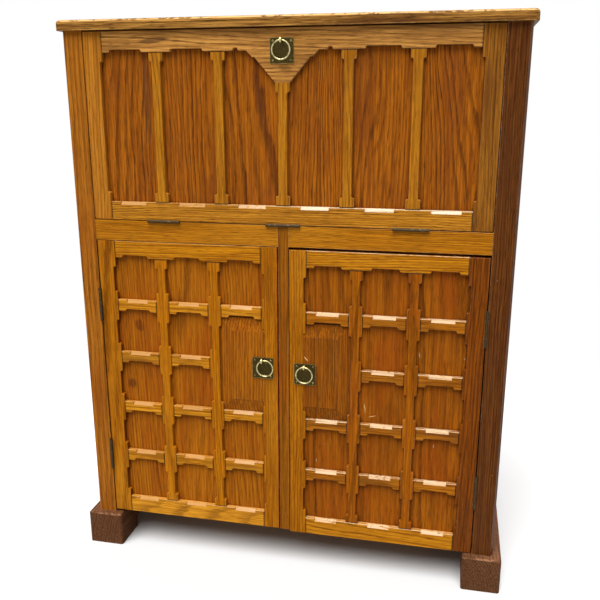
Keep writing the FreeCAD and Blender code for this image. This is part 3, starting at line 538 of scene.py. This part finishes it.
# %% [markdown]
# ## The doors: frames
#
# The doors are framed like the flap. The left door is the lighter one, and its bottom rail the
# lightest of all. The edges of the stiles got a dark red stain, which shows as a fine line in
# the joint between the left door and the strip in the middle, and all along an open door.

# %% Door frame oaks
door_seams = (abs(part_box("left_door_hinge_stile")[1].x),
              abs(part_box("left_door_meeting_stile")[0].x))
left_door_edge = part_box("left_door_meeting_stile")[1].x
red_edge = mark(at=(left_door_edge, 0.4), reach=(0.0024, 9.0), shade=(108, 24, 18),
                strength=1.0, front=frame_front, depth=0.03)

oak("door_stile", "Z", ((186, 114, 12), (146, 82, 6), (98, 50, 4)), honey, seed=9.1, arris=0.1,
    sides=(92, 34, 18), marks=(red_edge,))
oak("dark_stile", "Z", ((140, 72, 10), (100, 48, 6), (62, 28, 4)), umber, seed=9.6, nicks=0.7)
oak("door_rail", "X", ((212, 138, 18), (166, 100, 10), (108, 58, 8)), honey, seed=10.4,
    lean=0.06, lines=0.9, glint_and_wear=0.6, seams=door_seams)
oak("honey_rail", "X", ((230, 158, 42), (186, 120, 26), (120, 70, 18)), honey, seed=10.9,
    lean=0.06, lines=0.8, glint_and_wear=0.95, seams=door_seams)
print("seams of the doors' rails:", [round(end, 4) for end in door_seams])

# %% [markdown]
# ## The doors: bars, muntins and panels
#
# The short cross bars end on the muntins and the stiles, so their seams are the edges of all of
# those. Their chamfers are paled almost from end to end, as bare wood and as a painted highlight.
# The panels lie deeper, out of reach: no worn arris there, only painted shade in the corners, two
# knots on the left and two scratches on the right. A third scratch crosses the right lock pad.

# %% Door field oaks
muntin_width = 0.0255
inner_muntin, outer_muntin = (corner.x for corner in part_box("right_door_muntins"))
bar_seams = (inner_muntin, inner_muntin + muntin_width, outer_muntin - muntin_width,
             outer_muntin) + door_seams
upper_knot = mark(at=(-0.308, 0.51), reach=(0.016, 0.022), shade=(92, 44, 14), strength=0.7,
                  turn=20)
lower_knot = mark(at=(-0.332, 0.38), reach=(0.014, 0.018), shade=(84, 40, 14), strength=0.7)
upright_scratch = mark(at=(0.163, 0.366), reach=(0.0016, 0.016), shade=(214, 176, 120),
                       strength=0.9, turn=8)
level_scratch = mark(at=(0.178, 0.351), reach=(0.012, 0.0016), shade=(206, 160, 100),
                     strength=0.9, turn=14)
pad_scratch = mark(at=(0.045, 0.4657), reach=(0.01, 0.0018), shade=(236, 190, 120),
                   strength=1.0, turn=-50, depth=0.03)

oak("left_bar", "X", ((222, 150, 34), (174, 106, 14), (108, 60, 8)), umber, seed=11.3,
    board=0.1123, first=0.04, tinted=0.55, glint_and_wear=0.9, seams=bar_seams)
oak("right_bar", "X", ((190, 116, 22), (146, 82, 10), (92, 48, 8)), umber, seed=11.9,
    board=0.1123, first=0.04, tinted=0.6, glint_and_wear=0.9, seams=bar_seams)
oak("left_muntin", "Z", ((200, 122, 12), (160, 92, 6), (112, 62, 4)), honey, seed=12.2,
    board=0.11, seams=ends_of("left_door_muntins"))
oak("right_muntin", "Z", ((176, 100, 10), (138, 74, 6), (92, 46, 4)), rust, seed=12.9,
    board=0.11, seams=ends_of("right_door_muntins"))
oak("left_panel", "Z", ((182, 108, 16), (150, 82, 10), (78, 38, 6)), rust, seed=13.9,
    rings=250.0, board=0.11, first=0.0783, lines=0.65, corner_shade=0.5, arris=0.0,
    marks=(upper_knot, lower_knot))
oak("right_panel", "Z", ((168, 94, 12), (132, 70, 8), (70, 34, 6)), rust, seed=14.6,
    rings=250.0, board=0.11, first=0.0318, lines=0.7, corner_shade=0.5, arris=0.0, nicks=0.5,
    marks=(upright_scratch, level_scratch))
oak("left_pad", "Z", ((182, 108, 18), (142, 78, 12), (86, 42, 6)), rust, seed=14.1, rings=300.0,
    tinted=0.3, corner_shade=0.5, glint_and_wear=0.15)
oak("right_pad", "Z", ((164, 92, 14), (122, 66, 10), (74, 36, 6)), rust, seed=14.1, rings=300.0,
    tinted=0.3, corner_shade=0.5, glint_and_wear=0.15, marks=(pad_scratch,))
print("oaks in all:", len(finishes), "seams of the bars:", [round(end, 4) for end in bar_seams])

# %% [markdown]
# ## Brass and steel
#
# The square plates are brown-lacquered brass with a beaten surface; the drop rings are
# polished by hands and stay bright. The same function makes both: a bright colour, a dark
# tarnish laid over it by noise, and dents from a cell pattern in the bump. The dents are a
# fraction of a millimetre deep, too fine to be worth a mesh.

# %% Metal
def metal(name, bright, tarnish, share, seed, dent=0.0, rough=0.35, rubbed=None, proud=-1.0):
    """Makes metal with tarnish over share of it and dents of that depth in metres. The rubbed
    colour shows along its arrises and on all that stands further forward than proud."""
    finish = Finish(bpy.data.materials.new(name))
    place = finish.point()
    cloud = finish.noise(place, per_metre=(150.0,) * 3, shift=seed, detail=4.0, roughness=0.6)
    speck = finish.noise(place, per_metre=(700.0,) * 3, shift=seed + 5.0)
    dull = cloud.over(0.75 - 0.6 * share, 0.95 - 0.6 * share) * (0.6 + 0.4 * speck)
    beaten = finish.node("ShaderNodeTexVoronoi", {"feature": "SMOOTH_F1"},
                         {"Vector": place, "Scale": 330.0, "Smoothness": 0.6})
    tone = finish.blend(dull, colour(bright), colour(tarnish))
    if rubbed:
        rim_width, fade = 0.0012, 0.001
        forward = finish.split(place)[1].over(proud, proud - fade)
        rim = finish.corner(rim_width, inside=True).over(0.12, 0.5) * speck.over(0.3, 0.6) * 0.7
        worn = rim.at_least(forward)
        tone = finish.blend(worn, tone, colour(rubbed))
        dull = dull * (1 - worn)
    relief = finish.relief(beaten + speck * 0.2, dent or 0.0001, 1.0 if dent else 0.15)
    finishes[name] = finish.surface(Base_Color=tone, Metallic=1.0, Roughness=rough + dull * 0.25,
                                    Normal=relief)


boss_front = frame_front - 0.004
metal("plate_brass", bright=(122, 104, 54), tarnish=(40, 34, 16), share=0.88, seed=1.0,
      dent=0.0006, rough=0.38, rubbed=(206, 188, 126), proud=boss_front)
metal("ring_brass", bright=(202, 192, 142), tarnish=(122, 112, 72), share=0.55, seed=2.0,
      rough=0.26)
metal("hinge_brass", bright=(120, 104, 74), tarnish=(52, 40, 26), share=0.85, seed=3.0, rough=0.42)
metal("stay_brass", bright=(206, 176, 104), tarnish=(140, 112, 60), share=0.4, seed=4.0, rough=0.3)
metal("catch_steel", bright=(170, 172, 174), tarnish=(110, 108, 104), share=0.4, seed=5.0)
metal("screw_brass", bright=(150, 132, 84), tarnish=(80, 66, 40), share=0.6, seed=6.0)
print("finishes with the metals:", len(finishes))

# %% [markdown]
# The bodies of the magnetic catches inside are brown moulded plastic. A mould leaves one colour
# and a fine, even grain, so one noise serves both the shade and the relief.

# %% Plastic
def plastic(name, tone):
    """Makes moulded plastic: one colour with a fine grain in it."""
    finish = Finish(bpy.data.materials.new(name))
    grain = finish.noise(finish.point(), per_metre=(1500.0,) * 3)
    shade = finish.blend(grain * 0.35, colour(tone), colour(tone, share=0.6))
    finishes[name] = finish.surface(Base_Color=shade, Roughness=0.5,
                                    Normal=finish.relief(grain, depth=0.0001, strength=0.3))


plastic("catch_plastic", (96, 66, 40))
print("finishes in all:", len(finishes))

# %% [markdown]
# ## Dressing the parts
#
# Each CAD part has one material slot, which already names its general finish. Parts that differ
# from their kind, such as each stile and rail, are listed; the others keep the name in their
# slot. Only the material in the slot changes, so the shapes stay exactly those of the model.

# %% Which part wears which finish
wear_by_node = {
    "top_slab": "slab_oak", "left_foot": "foot_oak", "right_foot": "foot_oak",
    "left_front_post": "left_post", "right_front_post": "right_post",
    "left_back_post": "back_post", "right_back_post": "back_post",
    "side_panels": "side_oak", "side_rails": "side_rail",
    "mid_rails": "mid_rail", "centre_muntin": "centre",
    "back_panel": "back_board",
    "fall_left_stile": "left_stile", "fall_right_stile": "right_stile",
    "fall_top_rail": "top_rail", "fall_bottom_rail": "bottom_rail",
    "fall_muntins": "fall_muntin", "fall_panel": "fall_panel",
}
for side, hinge_oak, low_oak in (("left", "door_stile", "honey_rail"),
                                 ("right", "dark_stile", "door_rail")):
    wear_by_node.update({
        f"{side}_door_hinge_stile": hinge_oak, f"{side}_door_meeting_stile": "door_stile",
        f"{side}_door_top_rail": "door_rail", f"{side}_door_bottom_rail": low_oak,
        f"{side}_door_bars": f"{side}_bar", f"{side}_door_muntins": f"{side}_muntin",
        f"{side}_door_panel": f"{side}_panel", f"{side}_door_lock_pad": f"{side}_pad",
    })
for name, part in nodes.items():
    slot = part.material_slots[0]
    slot.material = finishes[wear_by_node.get(name, slot.material.name.split(".")[0])]
print("dressed:", len(nodes), "of which by their own name:", len(wear_by_node))

# %% [markdown]
# ## The screws of the pull plates
#
# Each plate is held by four round-head screws. A screw head is a low dome with a slot. It
# starts as a short cylinder, its front edge is bevelled round in edit mode, and the slot is
# cut by a boolean. A sphere cut in half would be rounder than the real, pressed head. One head
# is made and copied.

# %% Helpers for new pieces
def deselect():
    """Leaves nothing selected, because an operator acts on all that is."""
    bpy.ops.object.select_all(action="DESELECT")


def settle(piece, name):
    """Names a piece and moves its place into its mesh."""
    deselect()
    piece.select_set(True)
    bpy.context.view_layer.objects.active = piece
    bpy.ops.object.transform_apply(location=True, rotation=True, scale=True)
    piece.name = piece.data.name = name
    return piece


def cut_out(piece, cutter):
    """Takes the cutter's shape out of the piece, and then the cutter away."""
    cut = piece.modifiers.new("cut", "BOOLEAN")
    cut.operation, cut.object, cut.solver = "DIFFERENCE", cutter, "EXACT"
    bpy.context.view_layer.objects.active = piece
    bpy.ops.object.modifier_apply(modifier="cut")
    bpy.data.objects.remove(cutter)


deselect()
print("selected:", len(bpy.context.selected_objects))

# %% One screw head
def round_front(head, height):
    """Bevels the front rim of a head that stands that high on the plane y = 0."""
    bpy.ops.object.mode_set(mode="EDIT")
    bpy.ops.mesh.select_all(action="DESELECT")
    bpy.ops.object.mode_set(mode="OBJECT")
    for edge in head.data.edges:
        ends = [head.data.vertices[v].co.y for v in edge.vertices]
        edge.select = all(y < -0.9 * height for y in ends)
    bpy.ops.object.mode_set(mode="EDIT")
    bpy.ops.mesh.bevel(offset=height * 0.85, segments=4, profile=0.5)
    bpy.ops.object.mode_set(mode="OBJECT")


def screw_head(radius, height):
    """A slotted dome looking to -Y, its foot in the plane y = 0."""
    slot_size = (radius * 2.4, height * 0.9, radius * 0.26)
    deselect()
    bpy.ops.mesh.primitive_cylinder_add(vertices=32, radius=radius, depth=height,
                                        location=(0, -height / 2, 0),
                                        rotation=(radians(90), 0, 0))
    head = settle(bpy.context.object, "screw_head")
    round_front(head, height)
    deselect()
    bpy.ops.mesh.primitive_cube_add(size=1.0, location=(0, -height, 0), scale=slot_size)
    cut_out(head, settle(bpy.context.object, "screw_slot"))
    deselect()
    head.select_set(True)
    bpy.ops.object.shade_smooth_by_angle(angle=radians(40))
    return head


pattern_head = screw_head(radius=0.0021, height=0.0011)
print("screw head faces:", len(pattern_head.data.polygons))

# %% [markdown]
# A screw stops where it is tight, so each slot points another way. The four heads of a plate
# are joined into one piece, which rides on the body that carries the plate: the flap, or one
# of the doors.

# %% Four heads on each plate
def copy_at(pattern, place, turn):
    """A copy with its own mesh, turned about Y and moved to place."""
    twin = pattern.copy()
    twin.data = pattern.data.copy()
    bpy.context.scene.collection.objects.link(twin)
    twin.rotation_euler = (0, radians(turn), 0)
    twin.location = place
    return twin


def joined(pieces, name):
    """Several meshes made one piece."""
    deselect()
    for piece in pieces:
        piece.select_set(True)
    bpy.context.view_layer.objects.active = pieces[0]
    bpy.ops.object.join()
    return settle(bpy.context.object, name)


plate_size, plate_thickness, screw_inset = 0.044, 0.0015, 0.0055
for body in ("fall", "left_door", "right_door"):
    low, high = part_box(f"{body}_pull_plate")
    face = high.y - plate_thickness
    turns = iter((20, -35, 65, 5))
    heads = []
    for x in (low.x + screw_inset, high.x - screw_inset):
        for z in (low.z + screw_inset, low.z + plate_size - screw_inset):
            heads.append(copy_at(pattern_head, (x, face, z), next(turns)))
    screws = joined(heads, f"{body}_pull_screws")
    screws.data.materials.clear()
    screws.data.materials.append(finishes["screw_brass"])
    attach(screws, body)
    print(body, "screws, faces:", len(screws.data.polygons))
bpy.data.objects.remove(pattern_head)

# %% [markdown]
# ## The floor
#
# The floor is a plain pale sheet. The camera and reflections see it near white, with the shadow
# of the cabinet on it; the light that it throws back up is that of a duller floor, so that the
# undersides stay dark. Light Path tells the two kinds of look apart. Further out the sheet
# turns into plain white, so that no horizon shows.

# %% Floor
def looked_at(finish):
    """1 for the camera and for reflections, 0 for light on its way between surfaces."""
    camera, glossy = (finish.node("ShaderNodeLightPath", out=f"Is {kind} Ray")
                      for kind in ("Camera", "Glossy"))
    return camera.at_least(glossy)


def grey(level):
    return (level, level, level, 1.0)


floor_size, white_from, white_beyond = 24.0, 0.75, 1.6
deselect()
bpy.ops.mesh.primitive_grid_add(x_subdivisions=8, y_subdivisions=8, size=floor_size,
                                location=(0, 0, 0))
floor = settle(bpy.context.object, "floor")
pale = Finish(bpy.data.materials.new("floor_white"))
seen = looked_at(pale)
away = pale.vector("LENGTH", pale.point(), out="Value").over(white_from, white_beyond)
dull_floor = pale.node("ShaderNodeBsdfDiffuse", None, {"Color": grey(0.35)})
pale_floor = pale.node("ShaderNodeBsdfDiffuse", None, {"Color": grey(0.7)})
matt = pale.node("ShaderNodeMixShader", None, {0: seen, 1: dull_floor, 2: pale_floor})
blank = pale.node("ShaderNodeEmission", None, {"Color": grey(1.0), "Strength": 1.0})
mixed = pale.node("ShaderNodeMixShader", None, {0: away * seen, 1: matt, 2: blank})
pale.node("ShaderNodeOutputMaterial", None, {"Surface": mixed})
floor.data.materials.append(pale.owner)
print("floor, metres across:", floor_size)

# %% [markdown]
# ## The sky
#
# The world gives a little light from all sides, as the walls of a studio do, and fills the
# shadows. The camera and the metal see it at full strength, as a white backdrop. More light
# would make it as white, but would bleach the oak too.

# %% Sky
fill_strength = 0.22
world = bpy.data.worlds.new("sky")
bpy.context.scene.world = world
sky = Finish(world)
fill = sky.node("ShaderNodeBackground", None, {"Color": grey(1.0), "Strength": fill_strength})
backdrop = sky.node("ShaderNodeBackground", None, {"Color": grey(1.0), "Strength": 1.0})
either = sky.node("ShaderNodeMixShader", None, {0: looked_at(sky), 1: fill, 2: backdrop})
sky.node("ShaderNodeOutputWorld", None, {"Surface": either})
print("fill light:", fill_strength)

# %% [markdown]
# ## The lamps
#
# One very wide lamp high in front, a little to the left, does most of the work: its light
# comes down at more than 60 degrees, so each arch throws a soft shadow on the panel behind it.
# A sun lamp with a wide disc gives that without growing weaker towards the feet. A weaker one
# behind keeps the back and the right side readable.

# %% Lamps
def wide_sun(name, strength, spread, turn):
    """A sun lamp whose disc is spread degrees wide, turned from straight down."""
    light = bpy.data.lights.new(name, "SUN")
    light.energy, light.angle = strength, radians(spread)
    holder = bpy.data.objects.new(name, light)
    bpy.context.scene.collection.objects.link(holder)
    holder.rotation_euler = [radians(t) for t in turn]


wide_sun("front_light", strength=4.5, spread=48, turn=(27, 0, -14))
wide_sun("back_light", strength=2.2, spread=60, turn=(-42, 0, -30))

# %% [markdown]
# What was added must not make the cabinet bigger.

# %% [markdown]
# ## Riding with the bodies
#
# Every piece has to ride on a body of the model, or it would stay behind when a door opens.
